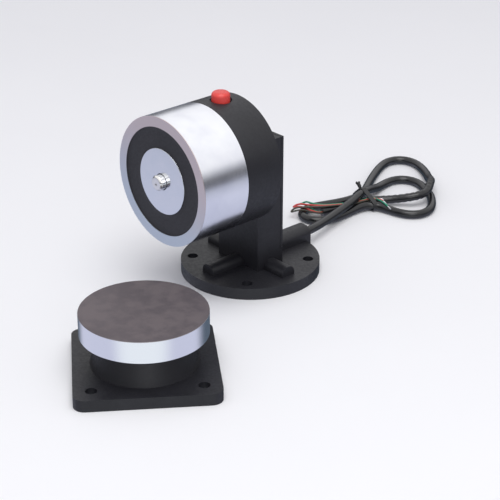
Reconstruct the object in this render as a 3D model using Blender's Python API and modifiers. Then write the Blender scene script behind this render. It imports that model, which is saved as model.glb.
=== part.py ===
# Magnetic door holder: the electromagnet on its floor stand, with its supply cable, and the
# keeper that is screwed to the door. Metres, +Z up. The origin is the middle of the floor
# flange's underside, the magnet faces -Y and the cable leaves towards +Y.

import math

import bmesh
import bpy
from mathutils import Vector

# Driving dimensions
GAP = 0.0003  # clearance between pieces that touch
FLANGE_RADIUS = 0.0425
FLANGE_HEIGHT = 0.0073
FIXING_RADIUS = 0.00325  # screw holes in the flange and in the keeper plate
FIXING_OFFSET = 0.025  # flange holes, along X and along Y
COLUMN_HALF_WIDTH = 0.0178
COLUMN_FRONT = -0.0100
COLUMN_BACK = 0.0103
COLUMN_TOP = 0.0897
COLUMN_WALL = 0.0030
COVER_THICKNESS = 0.0019
COVER_BOTTOM = 0.0180
RIB_HALF_WIDTH = 0.0050
RIB_TOP = 0.0133
RIB_REACH = 0.0340
BOSS_HALF_WIDTH = 0.0065
BOSS_TOP = 0.0160
BOSS_END = 0.0450
CABLE_RADIUS = 0.00275
CABLE_HEIGHT = 0.0100  # of the cable's middle where it leaves the boss

# Holes and seats in the stand
CAVITY_FLOOR = 0.0065
CAVITY_BACK = 0.0051
COVER_SPOTS = [(x, z) for x in (-0.0117, 0.0117) for z in (0.0218, 0.0828)]
FLANGE_SPOTS = [(x, y) for x in (-FIXING_OFFSET, FIXING_OFFSET) for y in (-FIXING_OFFSET, FIXING_OFFSET)]
WIRE_HOLE = 0.0035
WIRE_PASS = 0.0650
CLAMP_SCREW_X = 0.0080
CLAMP_Y = 0.0020
BUSH_RADIUS = 0.0045
BUSH_START = 0.0413
BOLT_HOLE = 0.0028
PILOT = 0.0015
# Cores inside the cable: name, offset across it and offset upward
CORES = (("core_red", -0.0019, 0.0007), ("core_green", 0.0, -0.0009), ("core_black", 0.0019, 0.0007))

# The magnet head is turned about a level axis. Its depths count forward (-Y) from Y = 0.
AXIS_HEIGHT = 0.0772
HEAD_RADIUS = 0.0386
HEAD_REAR = 0.0103
HOUSING_WALL = 0.0030
HOUSING_FLOOR = 0.0143
HEAD_SPLIT = 0.0357  # the seam between housing and magnet pot
MAGNET_FACE = 0.0680
POT_FLOOR = 0.04385
POT_BORE = 0.0324
POLE_RADIUS = 0.01975
PIN_RADIUS = 0.0046
PIN_PROUD = 0.0040
BOLT_SPOTS = [(x, z) for x in (-0.009, 0.009) for z in (0.055, 0.075)]
BUTTON_Y = -0.023
BUTTON_RADIUS = 0.0055
BUTTON_TOP = 0.1208
BOARD_Z = 0.0900
BOARD_THICKNESS = 0.0016
BOARD_SCREW_X = 0.0160
BOARD_SCREW_Y = -0.0190
BLOCK_FRONT = -0.0295  # of the terminal block
SPIGOT_FACE = 0.0330
LEAD_SPOTS = [(-0.017, 0.020), (0.017, 0.020)]  # about the magnet's axis

# Keeper, in its own frame with the disc's axis on Z
KEEPER_PLACE = (0.0558, -0.1266, 0.0)
KEEPER_TURN = math.radians(54.3)
PLATE_SIZE = 0.0794
PLATE_HEIGHT = 0.00685
PLATE_CORNER = 0.0065
PLATE_FIXING = 0.0298
PLATE_SPOTS = [(x, y) for x in (-PLATE_FIXING, PLATE_FIXING) for y in (-PLATE_FIXING, PLATE_FIXING)]
PEDESTAL_FOOT = 0.0300
PEDESTAL_HEAD = 0.0260
PEDESTAL_TOP = 0.0190
DISC_RADIUS = 0.0354
DISC_BOTTOM = 0.0245
DISC_TOP = 0.03757
BALL_HEIGHT = 0.0140
BALL_RADIUS = 0.0070
CAP_RADIUS = 0.0155
CAP_BOTTOM = 0.0032
CAP_TOP = 0.0050
CAP_SCREW_RADIUS = 0.0126

# The cable's free stretch, from the boss to the folded hank
CABLE_ROUTE = [
    (0.0, BOSS_END + GAP / 2, CABLE_HEIGHT),
    (0.0, 0.0495, 0.0100),
    (-0.0010, 0.0545, 0.0097),
    (-0.0028, 0.0610, 0.0091),
    (-0.0044, 0.0660, 0.0088),
]
# Folded cable behind the stand: the hank's outline, clockwise from where the cable comes in
HANK_HEIGHT = 0.0116
HANK_OUTLINE = [
    (-0.0020, 0.0775), (-0.0010, 0.0700), (-0.0040, 0.0640), (-0.0120, 0.0645), (-0.0250, 0.0660),
    (-0.0345, 0.0685), (-0.0400, 0.0760), (-0.0430, 0.0825), (-0.0460, 0.0870), (-0.0448, 0.0925),
    (-0.0402, 0.1000), (-0.0364, 0.1075), (-0.0345, 0.1150), (-0.0352, 0.1240), (-0.0385, 0.1330),
    (-0.0435, 0.1430), (-0.0520, 0.1560), (-0.0575, 0.1680), (-0.0592, 0.1810), (-0.0560, 0.1910),
    (-0.0462, 0.1962), (-0.0340, 0.1942), (-0.0215, 0.1888), (-0.0090, 0.1792), (0.0015, 0.1680),
    (0.0060, 0.1628), (0.0155, 0.1558), (0.0235, 0.1462), (0.0265, 0.1350), (0.0238, 0.1268),
    (0.0175, 0.1210), (0.0110, 0.1170), (0.0020, 0.1145), (-0.0065, 0.1110), (-0.0098, 0.1040),
    (-0.0080, 0.0960), (-0.0050, 0.0860),
]
WIRE_RADIUS = 0.0006
WIRE_HEIGHT = 0.0126  # of the bare wires where they lie on the hank
FOLD_MIDDLE = (-0.0250, 0.0820)  # of the hank's round end behind the stand
WIRES = {  # name: (heading of its loop, radius where it starts, lane across the tie, tip)
    "wire_green": (180, 0.0120, -0.0070, (-0.0085, 0.1345)),
    "wire_red": (208, 0.0088, -0.0045, (-0.0045, 0.1315)),
    "wire_black": (240, 0.0035, -0.0020, (-0.0010, 0.1285)),
}
TIE_PLACE = (-0.0178, 0.1186, 0.0)
TIE_TURN = math.radians(-8)
TIE_OPENING = (0.0117, 0.0012, 0.0134)  # half its width, its bottom and its top
TIE_WALL = (0.0012, 0.0011, 0.0012)
TIE_HALF_WIDTH = 0.0018  # along the cable

LEVEL = (math.radians(90), 0, 0)  # local Z points forward, along -Y
REARWARD = (math.radians(-90), 0, 0)  # local Z points back, along +Y
REARWARD_UPRIGHT = (math.radians(90), 0, math.radians(180))  # local X, Y, Z lie along -X, Z, Y
SIDEWAYS = (math.radians(90), 0, math.radians(90))  # local X, Y, Z lie along Y, Z, X

FINISHES = {  # base colour, roughness, metallic
    "black_casting": ((0.022, 0.023, 0.028), 0.50, 0.0),
    "plated_steel": ((0.70, 0.71, 0.74), 0.24, 1.0),
    "pole_steel": ((0.48, 0.50, 0.55), 0.22, 1.0),
    "potting_resin": ((0.015, 0.015, 0.018), 0.62, 0.0),
    "copper_wire": ((0.72, 0.33, 0.15), 0.35, 1.0),
    "bobbin_nylon": ((0.62, 0.60, 0.54), 0.55, 0.0),
    "red_plastic": ((0.72, 0.09, 0.09), 0.38, 0.0),
    "switch_plastic": ((0.05, 0.05, 0.055), 0.45, 0.0),
    "board_laminate": ((0.03, 0.20, 0.09), 0.45, 0.0),
    "screw_steel": ((0.55, 0.55, 0.57), 0.30, 1.0),
    "spring_steel": ((0.45, 0.45, 0.47), 0.30, 1.0),
    "disc_steel": ((0.26, 0.245, 0.25), 0.42, 0.85),
    "rubber": ((0.02, 0.02, 0.02), 0.75, 0.0),
    "cable_jacket": ((0.015, 0.015, 0.017), 0.30, 0.0),
    "wire_red": ((0.55, 0.05, 0.04), 0.40, 0.0),
    "wire_green": ((0.04, 0.25, 0.09), 0.40, 0.0),
    "wire_black": ((0.02, 0.02, 0.02), 0.40, 0.0),
}

MODEL = bpy.data.collections.new("magnetic_door_holder")
CUTTERS = bpy.data.collections.new("cutters")
RING = 48  # facets round the large turned pieces


def clear_scene():
    for thing in list(bpy.data.objects):
        bpy.data.objects.remove(thing, do_unlink=True)
    for group in (MODEL, CUTTERS):
        bpy.context.scene.collection.children.link(group)


def finish(name):
    ready = bpy.data.materials.get(name)
    if ready:
        return ready
    colour, roughness, metallic = FINISHES[name]
    made = bpy.data.materials.new(name)
    made.use_nodes = True
    shader = made.node_tree.nodes["Principled BSDF"]
    shader.inputs["Base Color"].default_value = (*colour, 1)
    shader.inputs["Roughness"].default_value = roughness
    shader.inputs["Metallic"].default_value = metallic
    return made


def add(name, data, parent=None, at=(0, 0, 0), turn=(0, 0, 0), look=None):
    """An object in the model, or among the cutters where it has no finish."""
    obj = bpy.data.objects.new(name, data)
    (MODEL if look or data is None else CUTTERS).objects.link(obj)
    obj.parent = parent
    obj.location = at
    obj.rotation_euler = turn
    if look:
        data.materials.append(finish(look))
    elif data is not None:
        obj.hide_render = True
        obj.display_type = "WIRE"
    return obj


def from_bmesh(name, shape, smooth=False):
    mesh = bpy.data.meshes.new(name)
    shape.to_mesh(mesh)
    shape.free()
    if smooth:
        mesh.shade_smooth()
        mesh.set_sharp_from_angle(angle=math.radians(35))
    return mesh


def box(name, low, high, **where):
    """A box between two corners."""
    low, high = Vector(low), Vector(high)
    shape = bmesh.new()
    bmesh.ops.create_cube(shape, size=1)
    bmesh.ops.scale(shape, vec=high - low, verts=shape.verts)
    bmesh.ops.translate(shape, vec=(low + high) / 2, verts=shape.verts)
    return add(name, from_bmesh(name, shape), **where)


def rod(name, radius, bottom, top, middle=(0, 0), facets=20, **where):
    """A cylinder along local Z."""
    shape = bmesh.new()
    bmesh.ops.create_cone(
        shape, cap_ends=True, segments=facets, radius1=radius, radius2=radius, depth=top - bottom
    )
    bmesh.ops.translate(shape, vec=(*middle, (bottom + top) / 2), verts=shape.verts)
    return add(name, from_bmesh(name, shape, smooth=True), **where)


def turned(name, profile, closed=False, facets=RING, **where):
    """A profile of (radius, height) points turned about local Z, top to bottom on its outer side."""
    shape = bmesh.new()
    points = [shape.verts.new((radius, 0, height)) for radius, height in profile]
    for start, end in zip(points, points[1:] + points[:1] if closed else points[1:]):
        shape.edges.new((start, end))
    obj = add(name, from_bmesh(name, shape), **where)
    screw = obj.modifiers.new("turn", "SCREW")
    screw.steps = facets
    screw.render_steps = facets
    screw.use_merge_vertices = True
    screw.merge_threshold = 0.00001
    screw.use_smooth_shade = True
    return obj


def plate(name, points, bottom, top, **where):
    """A closed outline of local (x, y) points, extruded from bottom to top."""
    curve = bpy.data.curves.new(name, "CURVE")
    curve.dimensions = "2D"
    curve.fill_mode = "BOTH"
    curve.extrude = (top - bottom) / 2
    line = curve.splines.new("POLY")
    line.points.add(len(points) - 1)
    for spot, (x, y) in zip(line.points, points):
        spot.co = (x, y, 0, 1)
    line.use_cyclic_u = True
    guide = bpy.data.objects.new(name, curve)
    bpy.context.scene.collection.objects.link(guide)
    depsgraph = bpy.context.evaluated_depsgraph_get()
    mesh = bpy.data.meshes.new_from_object(guide.evaluated_get(depsgraph))
    bpy.data.objects.remove(guide)
    bpy.data.curves.remove(curve)
    shape = bmesh.new()
    shape.from_mesh(mesh)
    bmesh.ops.remove_doubles(shape, verts=shape.verts, dist=0.00001)
    bmesh.ops.translate(shape, vec=(0, 0, (bottom + top) / 2), verts=shape.verts)
    bpy.data.meshes.remove(mesh)
    return add(name, from_bmesh(name, shape), **where)


def tube(name, points, radius, sides=2, **where):
    """A round wire through the points, with its ends filled."""
    curve = bpy.data.curves.new(name, "CURVE")
    curve.dimensions = "3D"
    curve.bevel_depth = radius
    curve.bevel_resolution = sides
    curve.use_fill_caps = True
    line = curve.splines.new("POLY")
    line.points.add(len(points) - 1)
    for spot, point in zip(line.points, points):
        spot.co = (*point, 1)
    line.use_smooth = True
    return add(name, curve, **where)


def combine(obj, other, operation="DIFFERENCE"):
    step = obj.modifiers.new(other.name, "BOOLEAN")
    step.operation = operation
    step.solver = "EXACT"
    step.object = other


def soften(obj, width, angle=40):
    bevel = obj.modifiers.new("edges", "BEVEL")
    bevel.width = width
    bevel.segments = 2
    bevel.limit_method = "ANGLE"
    bevel.angle_limit = math.radians(angle)


def arc(middle, radius, start, end, steps):
    """Points on an arc about (x, y), angles in degrees."""
    return [
        (
            middle[0] + radius * math.cos(math.radians(start + (end - start) * i / steps)),
            middle[1] + radius * math.sin(math.radians(start + (end - start) * i / steps)),
        )
        for i in range(steps + 1)
    ]


def smooth_route(points, spacing, closed=False):
    """Evenly spaced points on a smooth curve through the route's own points."""
    route = [Vector(point) for point in points]
    count = len(route)
    fine = []
    for i in range(count if closed else count - 1):
        if closed:
            a, b, c, d = (route[(i + k) % count] for k in (-1, 0, 1, 2))
        else:
            b, c = route[i], route[i + 1]
            a = route[i - 1] if i else b * 2 - c
            d = route[i + 2] if i + 2 < count else c * 2 - b
        for k in range(24):
            t = k / 24
            fine.append(
                0.5 * (b * 2 + (c - a) * t + (a * 2 - b * 5 + c * 4 - d) * t * t
                       + (b * 3 - a - c * 3 + d) * t ** 3)
            )
    fine.append(route[0] if closed else route[-1])
    lengths = [0.0]
    for start, end in zip(fine, fine[1:]):
        lengths.append(lengths[-1] + (end - start).length)
    steps = max(2, round(lengths[-1] / spacing))
    spaced = []
    k = 0
    for i in range(steps if closed else steps + 1):
        goal = lengths[-1] * i / steps
        while k < len(fine) - 2 and lengths[k + 1] < goal:
            k += 1
        span = lengths[k + 1] - lengths[k]
        share = (goal - lengths[k]) / span if span else 0
        spaced.append(fine[k].lerp(fine[k + 1], min(max(share, 0), 1)))
    return spaced


def helix(radius, bottom, top, turns, per_turn=8):
    count = turns * per_turn
    return [
        (
            radius * math.cos(2 * math.pi * i / per_turn),
            radius * math.sin(2 * math.pi * i / per_turn),
            bottom + (top - bottom) * i / count,
        )
        for i in range(count + 1)
    ]


def screw(name, at, turn, head, head_height, shank, length, parent=None):
    """A pan or cap head screw: local Z points out of its head, from under the head."""
    drive = head * 0.5
    profile = [
        (0, head_height * 0.45),
        (drive, head_height * 0.45),
        (drive, head_height),
        (head * 0.85, head_height),
        (head, head_height * 0.75),
        (head, 0),
        (shank, 0),
        (shank, -length),
        (0, -length),
    ]
    return turned(name, profile, facets=12, parent=parent, at=at, turn=turn, look="screw_steel")


def arch(half_width, top, bottom):
    """An upright section with straight sides and a half-round top."""
    return [(-half_width, bottom), (half_width, bottom)] + arc(
        (0, top - half_width), half_width, 0, 180, 10
    )


def build_floor_stand():
    stand = turned(
        "floor_stand",
        [
            (0, FLANGE_HEIGHT),
            (FLANGE_RADIUS - 0.0008, FLANGE_HEIGHT),
            (FLANGE_RADIUS, FLANGE_HEIGHT - 0.0008),
            (FLANGE_RADIUS, 0),
            (0, 0),
        ],
        look="black_casting",
    )
    rear_face = COLUMN_BACK - COVER_THICKNESS - GAP
    ledge = COVER_BOTTOM - GAP
    column = plate(
        "column",
        [
            (COLUMN_FRONT, 0.003),
            (COLUMN_BACK, 0.003),
            (COLUMN_BACK, ledge),
            (rear_face, ledge),
            (rear_face, COLUMN_TOP),
            (COLUMN_FRONT, COLUMN_TOP),
        ],
        -COLUMN_HALF_WIDTH,
        COLUMN_HALF_WIDTH,
        turn=SIDEWAYS,
    )
    combine(stand, column, "UNION")
    for name, heading in (("rib_right", 90), ("rib_left", -90), ("rib_front", 0)):
        rib = plate(
            name,
            arch(RIB_HALF_WIDTH, RIB_TOP, 0.003),
            0.002,
            RIB_REACH,
            turn=(math.radians(90), 0, math.radians(heading)),
        )
        combine(stand, rib, "UNION")
    boss = plate("cable_boss", arch(BOSS_HALF_WIDTH, BOSS_TOP, 0.001), 0.002, BOSS_END,
                 turn=(math.radians(90), 0, math.radians(180)))
    combine(stand, boss, "UNION")

    inside = COLUMN_HALF_WIDTH - COLUMN_WALL
    front, back = COLUMN_FRONT + COLUMN_WALL, CAVITY_BACK
    hollow = plate(
        "column_hollow",
        [
            (front, CAVITY_FLOOR),
            (back, CAVITY_FLOOR),
            (back, COVER_BOTTOM + 0.0006),
            (0.02, COVER_BOTTOM + 0.0006),
            (0.02, COLUMN_TOP - COLUMN_WALL),
            (front, COLUMN_TOP - COLUMN_WALL),
        ],
        -inside,
        inside,
        turn=SIDEWAYS,
    )
    combine(stand, hollow)
    for i, (x, z) in enumerate(COVER_SPOTS, 1):
        post = rod(f"cover_post_{i}", 0.0031, front - 0.0005, rear_face,
                   at=(x, 0, z), turn=REARWARD, facets=16)
        combine(stand, post, "UNION")
        pilot = rod(f"cover_pilot_{i}", 0.0014, -0.002, 0.012, at=(x, 0, z), turn=REARWARD, facets=12)
        combine(stand, pilot)
    for i, (x, z) in enumerate(BOLT_SPOTS, 1):
        hole = rod(f"bolt_hole_{i}", BOLT_HOLE, 0.005, 0.012, at=(x, 0, z), turn=LEVEL, facets=16)
        combine(stand, hole)
    combine(stand, rod("wire_hole", WIRE_HOLE, 0.005, 0.012, at=(0, 0, WIRE_PASS), turn=LEVEL, facets=16))
    for i, (x, y) in enumerate(FLANGE_SPOTS, 1):
        combine(stand, rod(f"fixing_hole_{i}", FIXING_RADIUS, -0.002, 0.012, at=(x, y, 0)))
    for i, x in enumerate((-CLAMP_SCREW_X, CLAMP_SCREW_X), 1):
        pilot = rod(f"clamp_pilot_{i}", PILOT, 0.0015, 0.008, at=(x, CLAMP_Y, 0), facets=12)
        combine(stand, pilot)
    bore = CABLE_RADIUS + GAP
    combine(stand, rod("cable_bore", bore, 0, 0.048, at=(0, 0, CABLE_HEIGHT), turn=REARWARD, facets=16))
    bush_room = rod("bush_room", BUSH_RADIUS + GAP, BUSH_START - GAP, 0.048,
                    at=(0, 0, CABLE_HEIGHT), turn=REARWARD, facets=24)
    combine(stand, bush_room)


def build_rear_cover():
    edge = COLUMN_HALF_WIDTH
    cover = plate(
        "rear_cover",
        [(-edge, COVER_BOTTOM), (edge, COVER_BOTTOM), (edge, COLUMN_TOP), (-edge, COLUMN_TOP)],
        COLUMN_BACK - COVER_THICKNESS,
        COLUMN_BACK,
        turn=REARWARD_UPRIGHT,
        look="black_casting",
    )
    flush = COLUMN_BACK - 0.0001
    for i, (x, z) in enumerate(COVER_SPOTS, 1):
        seat = turned(
            f"cover_seat_{i}",
            [
                (0, 0.0004), (0.0031, 0.0004), (0.0031, -0.0001), (0.0017, -0.0015), (0.0017, -0.004),
                (0, -0.004),
            ],
            facets=12, at=(x, COLUMN_BACK, z), turn=REARWARD,
        )
        combine(cover, seat)
        turned(
            f"cover_screw_{i}",
            [(0, -0.0007), (0.0012, -0.0007), (0.0014, 0), (0.0027, 0), (0.0011, -0.0016), (0.0011, -0.009),
             (0, -0.009)],
            facets=12, at=(x, flush, z), turn=REARWARD, look="screw_steel",
        )


def build_housing(head):
    housing = turned(
        "barrel_housing",
        [
            (0, HOUSING_FLOOR),
            (HEAD_RADIUS - HOUSING_WALL, HOUSING_FLOOR),
            (HEAD_RADIUS - HOUSING_WALL, HEAD_SPLIT - GAP / 2),
            (HEAD_RADIUS, HEAD_SPLIT - GAP / 2),
            (HEAD_RADIUS, HEAD_REAR + 0.0008),
            (HEAD_RADIUS - 0.0008, HEAD_REAR),
            (0, HEAD_REAR),
        ],
        parent=head, look="black_casting",
    )
    for i, (x, z) in enumerate(BOLT_SPOTS, 1):
        spot = (x, z - AXIS_HEIGHT)
        boss = rod(f"bolt_boss_{i}", 0.0050, HOUSING_FLOOR - 0.0005, SPIGOT_FACE - GAP, spot, parent=head)
        combine(housing, boss, "UNION")
        hole = rod(f"boss_hole_{i}", BOLT_HOLE, HEAD_REAR - 0.001, SPIGOT_FACE + 0.001, spot, 16,
                   parent=head)
        combine(housing, hole)
    for i, side in enumerate((-1, 1), 1):
        low = (side * BOARD_SCREW_X - 0.003, 0.0068, HOUSING_FLOOR - 0.0005)
        high = (side * BOARD_SCREW_X + 0.003, BOARD_Z - AXIS_HEIGHT - GAP, 0.0220)
        combine(housing, box(f"board_ledge_{i}", low, high, parent=head), "UNION")
        pilot = rod(f"board_pilot_{i}", PILOT, 0.0850, 0.0910, (side * BOARD_SCREW_X, BOARD_SCREW_Y), 12)
        combine(housing, pilot)
    combine(housing, rod("rear_wire_hole", WIRE_HOLE, HEAD_REAR - 0.001, HOUSING_FLOOR + 0.001,
                         (0, WIRE_PASS - AXIS_HEIGHT), 16, parent=head))
    combine(housing, rod("button_hole", BUTTON_RADIUS + GAP, 0.105, 0.125, (0, BUTTON_Y), 32))
    combine(housing, rod("button_counterbore", 0.0066, 0.1146, 0.125, (0, BUTTON_Y), 32))


def build_magnet(head):
    pot = turned(
        "magnet_pot",
        [
            (0, POT_FLOOR),
            (POT_BORE, POT_FLOOR),
            (POT_BORE, MAGNET_FACE),
            (HEAD_RADIUS - 0.0005, MAGNET_FACE),
            (HEAD_RADIUS, MAGNET_FACE - 0.0005),
            (HEAD_RADIUS, HEAD_SPLIT + GAP / 2),
            (HEAD_RADIUS - HOUSING_WALL - GAP, HEAD_SPLIT + GAP / 2),
            (HEAD_RADIUS - HOUSING_WALL - GAP, SPIGOT_FACE),
            (0, SPIGOT_FACE),
        ],
        parent=head, look="plated_steel",
    )
    for i, (x, z) in enumerate(BOLT_SPOTS, 1):
        combine(pot, rod(f"pot_thread_{i}", BOLT_HOLE, SPIGOT_FACE - 0.001, 0.0410,
                         (x, z - AXIS_HEIGHT), 16, parent=head))
    for i, spot in enumerate(LEAD_SPOTS, 1):
        combine(pot, rod(f"lead_hole_{i}", 0.0014, SPIGOT_FACE - 0.001, POT_FLOOR + 0.001, spot, 12,
                         parent=head))
    pole_foot = POT_FLOOR + GAP
    bore = PIN_RADIUS + GAP
    turned(
        "pole_core",
        [
            (POLE_RADIUS, MAGNET_FACE), (POLE_RADIUS, pole_foot), (0.0065, pole_foot), (0.0065, 0.058),
            (bore, 0.058), (bore, MAGNET_FACE),
        ],
        closed=True, facets=48, parent=head, look="pole_steel",
    )
    turned(
        "coil_bobbin",
        [
            (0.0320, 0.0627), (0.0320, 0.0612), (0.0213, 0.0612), (0.0213, 0.0457), (0.0320, 0.0457),
            (0.0320, 0.0442), (0.0201, 0.0442), (0.0201, 0.0627),
        ],
        closed=True, facets=32, parent=head, look="bobbin_nylon",
    )
    turned(
        "coil_winding",
        [(0.0308, 0.0609), (0.0308, 0.0460), (0.0216, 0.0460), (0.0216, 0.0609)],
        closed=True, facets=32, parent=head, look="copper_wire",
    )
    turned(
        "potting_ring",
        [
            (POT_BORE - GAP, MAGNET_FACE - 0.0006), (POT_BORE - GAP, 0.0630),
            (POLE_RADIUS + GAP, 0.0630), (POLE_RADIUS + GAP, MAGNET_FACE - 0.0006),
        ],
        closed=True, parent=head, look="potting_resin",
    )
    for i, (x, z) in enumerate(BOLT_SPOTS, 1):
        screw(f"magnet_screw_{i}", (x, COLUMN_FRONT + COLUMN_WALL + GAP, z), REARWARD,
              0.0042, 0.0030, 0.0025, 0.0333)


def build_ejector(head):
    turned(
        "ejector_pin",
        [
            (0, MAGNET_FACE + PIN_PROUD),
            (PIN_RADIUS - 0.0008, MAGNET_FACE + PIN_PROUD),
            (PIN_RADIUS, MAGNET_FACE + PIN_PROUD - 0.0008),
            (PIN_RADIUS, 0.0577), (0.0062, 0.0577), (0.0062, 0.0547), (0.0022, 0.0547), (0.0022, 0.0486),
            (0, 0.0486),
        ],
        facets=24, parent=head, look="screw_steel",
    )
    turned(
        "ejector_plug",
        [(0.0062, 0.0465), (0.0062, POT_FLOOR + GAP), (0.0026, POT_FLOOR + GAP), (0.0026, 0.0465)],
        closed=True, facets=16, parent=head, look="screw_steel",
    )
    tube("ejector_spring", helix(0.0044, 0.0472, 0.0540, 4), 0.0004, 1, parent=head, look="spring_steel")


def build_electronics():
    bottom, top = BOARD_Z, BOARD_Z + BOARD_THICKNESS
    board = box("circuit_board", (-0.022, -0.030, bottom), (0.022, -0.016, top), look="board_laminate")
    for i, side in enumerate((-1, 1), 1):
        spot = (side * BOARD_SCREW_X, BOARD_SCREW_Y)
        combine(board, rod(f"board_hole_{i}", 0.0015, bottom - 0.001, top + 0.001, spot, 12))
        screw(f"board_screw_{i}", (*spot, top + GAP), (0, 0, 0), 0.0025, 0.0016, 0.0012, 0.0062)
    stand_on = top + GAP
    body = box("switch_body", (-0.006, -0.029, stand_on), (0.006, -0.017, 0.101), look="switch_plastic")
    combine(body, rod("plunger_bore", 0.0020, 0.0935, 0.103, (0, BUTTON_Y), 16))
    block = box("terminal_block", (-0.0205, BLOCK_FRONT, stand_on), (-0.0085, -0.0230, 0.0985),
                look="switch_plastic")
    for i, x in enumerate((-0.0175, -0.0145, -0.0115), 1):
        combine(block, rod(f"terminal_hole_{i}", 0.0011, 0.0265, 0.032, (x, 0.0945), 12, turn=LEVEL))
        combine(block, rod(f"terminal_screw_hole_{i}", 0.0010, 0.0965, 0.100, (x, -0.0263), 12))
    absorber = rod("surge_absorber", 0.0034, 0.0245, 0.0275, (0.0115, stand_on + 0.0034), 20,
                   turn=LEVEL, look="switch_plastic")
    soften(absorber, 0.0006)


def build_button():
    dome = [(0, BUTTON_TOP)] + [
        (
            BUTTON_RADIUS - 0.0022 + 0.0022 * math.sin(math.radians(angle)),
            BUTTON_TOP - 0.0026 + 0.0022 * math.cos(math.radians(angle)),
        )
        for angle in (10, 30, 50, 70, 90)
    ]
    turned(
        "button_cap",
        dome + [
            (BUTTON_RADIUS, 0.1118), (0.00675, 0.1118), (0.00675, 0.1100), (0.0040, 0.1100),
            (0.0040, 0.1170), (0, 0.1170),
        ],
        facets=24, at=(0, BUTTON_Y, 0), look="red_plastic",
    )
    rod("button_stem", 0.0017, 0.0975, 0.1167, (0, 0), 16, at=(0, BUTTON_Y, 0), look="switch_plastic")
    tube("button_spring", helix(0.0029, 0.10165, 0.11635, 5), 0.00035, 1, at=(0, BUTTON_Y, 0),
         look="spring_steel")


def build_wiring():
    rod("cable_tail", CABLE_RADIUS, -0.0015, BOSS_END - GAP / 2, facets=16,
        at=(0, 0, CABLE_HEIGHT), turn=REARWARD, look="cable_jacket")
    turned(
        "cable_bush",
        [(BUSH_RADIUS, BOSS_END - GAP), (BUSH_RADIUS, BUSH_START), (CABLE_RADIUS + GAP, BUSH_START),
         (CABLE_RADIUS + GAP, BOSS_END - GAP)],
        closed=True, facets=24, at=(0, 0, CABLE_HEIGHT), turn=REARWARD, look="rubber",
    )
    foot = CAVITY_FLOOR + GAP
    saddle = rod("cable_clamp", 0.0048, -0.0025, 0.0025, facets=24, at=(0, CLAMP_Y, CABLE_HEIGHT),
                 turn=REARWARD, look="screw_steel")
    feet = box("clamp_feet", (-0.011, CLAMP_Y - 0.0025, foot), (0.011, CLAMP_Y + 0.0025, foot + 0.0025))
    combine(saddle, feet, "UNION")
    combine(saddle, rod("clamp_bore", CABLE_RADIUS + GAP, -0.004, 0.004, facets=24,
                        at=(0, CLAMP_Y, CABLE_HEIGHT), turn=REARWARD))
    half = CABLE_RADIUS + GAP
    front, back = CLAMP_Y - 0.004, CLAMP_Y + 0.004
    combine(saddle, box("clamp_mouth", (-half, front, 0.003), (half, back, CABLE_HEIGHT)))
    combine(saddle, box("clamp_trim", (-0.02, front, 0.003), (0.02, back, foot)))
    for i, x in enumerate((-CLAMP_SCREW_X, CLAMP_SCREW_X), 1):
        combine(saddle, rod(f"foot_hole_{i}", 0.0015, foot - 0.001, foot + 0.0035, (x, CLAMP_Y), 12))
        seat = (x, CLAMP_Y, foot + 0.0025 + GAP)
        screw(f"clamp_screw_{i}", seat, (0, 0, 0), 0.0023, 0.0015, 0.0012, 0.0070)
    for name, x, lift in CORES:
        route = [
            (x, -0.0018, CABLE_HEIGHT + lift), (x, -0.0030, CABLE_HEIGHT + lift + 0.0002),
            (x, -0.0045, CABLE_HEIGHT + lift + 0.0022), (x, -0.0050, 0.0170), (x, -0.0050, 0.0400),
            (x, -0.0052, 0.0600), (x, -0.0075, 0.0645), (x, -0.0120, 0.0652), (x, -0.0165, 0.0665),
            (x, -0.0190, 0.0710), (x, -0.0195, 0.0800), (x, -0.0195, BOARD_Z - 0.0006),
        ]
        tube(name, smooth_route(route, 0.0042), 0.0007, 1, look=name.replace("core", "wire"))
    for i, (x, y) in enumerate(LEAD_SPOTS, 1):
        height = AXIS_HEIGHT + y
        board_top = BOARD_Z + BOARD_THICKNESS
        route = [
            (x, -POT_FLOOR + 0.0002, height), (x, -0.0380, height), (x, -0.0330, height),
            (x, -0.0292, height - 0.0012), (x, -0.0275, height - 0.0042), (x, -0.0275, board_top + GAP),
        ]
        if x < 0:  # this one ends at the terminal block
            route = route[:2] + [(x, BLOCK_FRONT - GAP, height)]
        tube(f"coil_lead_{i}", smooth_route(route, 0.0018), 0.0006, 1, look="wire_red")


def sphere_profile(radius, low, high, steps=5):
    """Points down a ball's side, about BALL_HEIGHT, from one height to another."""
    start = math.asin((high - BALL_HEIGHT) / radius)
    end = math.asin((low - BALL_HEIGHT) / radius)
    return [
        (
            radius * math.cos(start + (end - start) * i / steps),
            BALL_HEIGHT + radius * math.sin(start + (end - start) * i / steps),
        )
        for i in range(steps + 1)
    ]


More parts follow.
